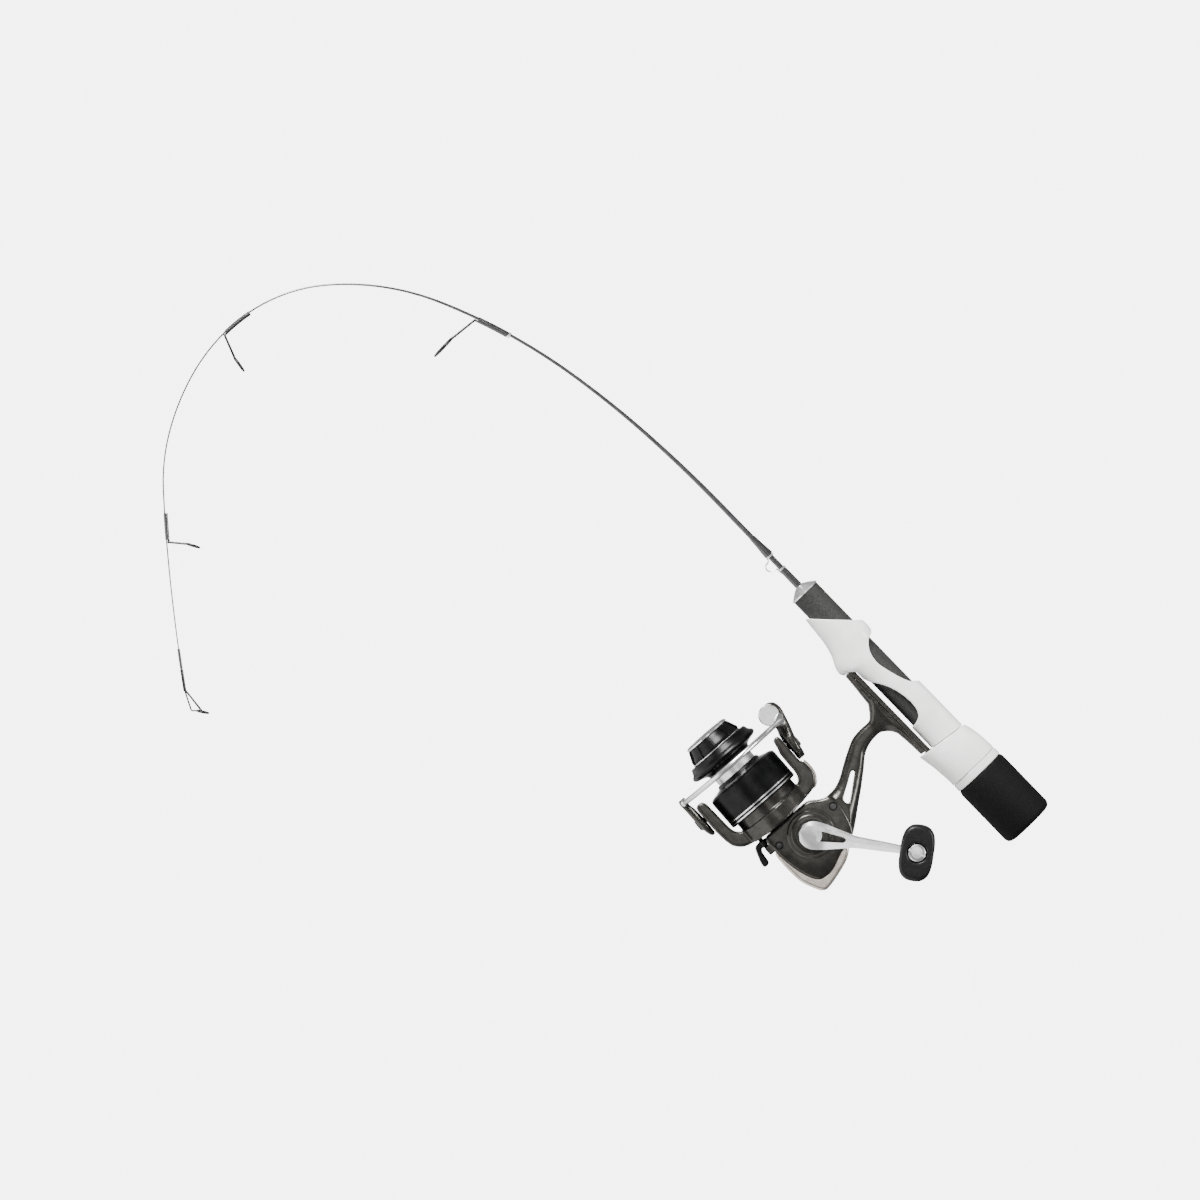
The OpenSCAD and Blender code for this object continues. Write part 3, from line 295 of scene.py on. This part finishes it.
def refine(node, voxel, rounds):
    """Rounds an organic piece: an even fine mesh, relaxed until its facets and inner corners are gone."""
    obj = merged_copy(node, node + "_shape")
    r = obj.modifiers.new("even", "REMESH")
    r.mode = "VOXEL"
    r.voxel_size = voxel * MM
    r.use_smooth_shade = True
    s = obj.modifiers.new("relax", "SMOOTH")
    s.factor = 0.5
    s.iterations = rounds
    return obj


for name, obj in nodes.items():
    coat(obj, slots[name])
    soften(obj, ANGLES.get(name, USUAL))

# voxel size in mm and rounds of relaxing
REFINED = {
    "seat_sleeve": (0.36, 2),
    "hood": (0.4, 2),
    "reel_frame": (0.36, 3),
    "rotor": (0.34, 4),
    "bail_arm": (0.22, 4),
    "bail_holder": (0.22, 3),
    "rear_cover": (0.26, 2),
    "knob": (0.36, 4),
    "ar_lever": (0.2, 3),
}
for name, (voxel, rounds) in REFINED.items():
    refine(name, voxel, rounds)


# ---- floor, light and camera ----

def stage_material(name, value):
    s = Shader(name)
    s.colour(s.noise(0.004, 2), grey(value * 0.97), grey(value))
    s.rough(s.noise(0.01, 2), 0.75, 0.9)
    return s.mat


def floor():
    mesh = bpy.data.meshes.new("floor")
    b = bmesh.new()
    bmesh.ops.create_grid(b, x_segments=8, y_segments=8, size=0.7)
    b.to_mesh(mesh)
    b.free()
    obj = bpy.data.objects.new("floor", mesh)
    obj.location = (0.18, 0, FLOOR_Z)
    obj.data.materials.append(stage_material("floor", 0.85))
    bpy.context.scene.collection.objects.link(obj)


RIGHT = Vector((-0.696, 0, 0.718)).normalized()
UP = Vector((0.718, 0, 0.696)).normalized()
BACK = Vector((0, 1, 0))
CENTRE = Vector((0.199, 0, -0.066))
DISTANCE = 4.0
WIDTH = 0.519
SENSOR = 36
FLOOR_Z = -0.5
SURROUND = 0.28
SHEET = 6


def camera():
    data = bpy.data.cameras.new("camera")
    data.sensor_width = SENSOR
    data.lens = SENSOR * DISTANCE / WIDTH
    data.clip_start = 0.1
    data.clip_end = 50
    obj = bpy.data.objects.new("camera", data)
    turn = Matrix((RIGHT, UP, BACK)).transposed().to_4x4()
    obj.matrix_world = Matrix.Translation(CENTRE + BACK * DISTANCE) @ turn
    bpy.context.scene.collection.objects.link(obj)
    bpy.context.scene.camera = obj


def lamp(name, right, up, back, size, power):
    """Area light placed in the picture's own directions, aimed at the object."""
    data = bpy.data.lights.new(name, "AREA")
    data.shape = "RECTANGLE"
    data.size, data.size_y = size
    data.energy = power
    obj = bpy.data.objects.new(name, data)
    obj.location = CENTRE + RIGHT * right + UP * up + BACK * back
    obj.rotation_mode = "QUATERNION"
    obj.rotation_quaternion = (obj.location - CENTRE).to_track_quat("Z", "Y")
    bpy.context.scene.collection.objects.link(obj)


def world():
    """Soft surroundings, with the bright sheet that stands behind the object toward -Y."""
    w = bpy.data.worlds.new("studio")
    w.use_nodes = True
    tree = w.node_tree
    bg = tree.nodes["Background"]
    coord = tree.nodes.new("ShaderNodeTexCoord")
    part = tree.nodes.new("ShaderNodeSeparateXYZ")
    spot = tree.nodes.new("ShaderNodeMapRange")
    spot.interpolation_type = "SMOOTHSTEP"
    spot.inputs["From Min"].default_value = -0.965
    spot.inputs["From Max"].default_value = -0.990
    spot.inputs["To Min"].default_value = SURROUND
    spot.inputs["To Max"].default_value = SHEET
    tree.links.new(coord.outputs["Generated"], part.inputs["Vector"])
    tree.links.new(part.outputs["Y"], spot.inputs["Value"])
    tree.links.new(spot.outputs["Result"], bg.inputs["Strength"])
    bg.inputs["Color"].default_value = (1, 1, 1, 1)
    bpy.context.scene.world = w


floor()
camera()
world()
lamp("key", -0.4, 1.1, 0.8, (0.9, 0.5), 70)
lamp("fill", 1.2, 0.2, 0.7, (0.3, 0.9), 22)
lamp("low", -0.4, -1.1, 0.4, (0.8, 0.3), 8)
lamp("front", 0.1, 0.25, 2.6, (1.1, 0.8), 5)
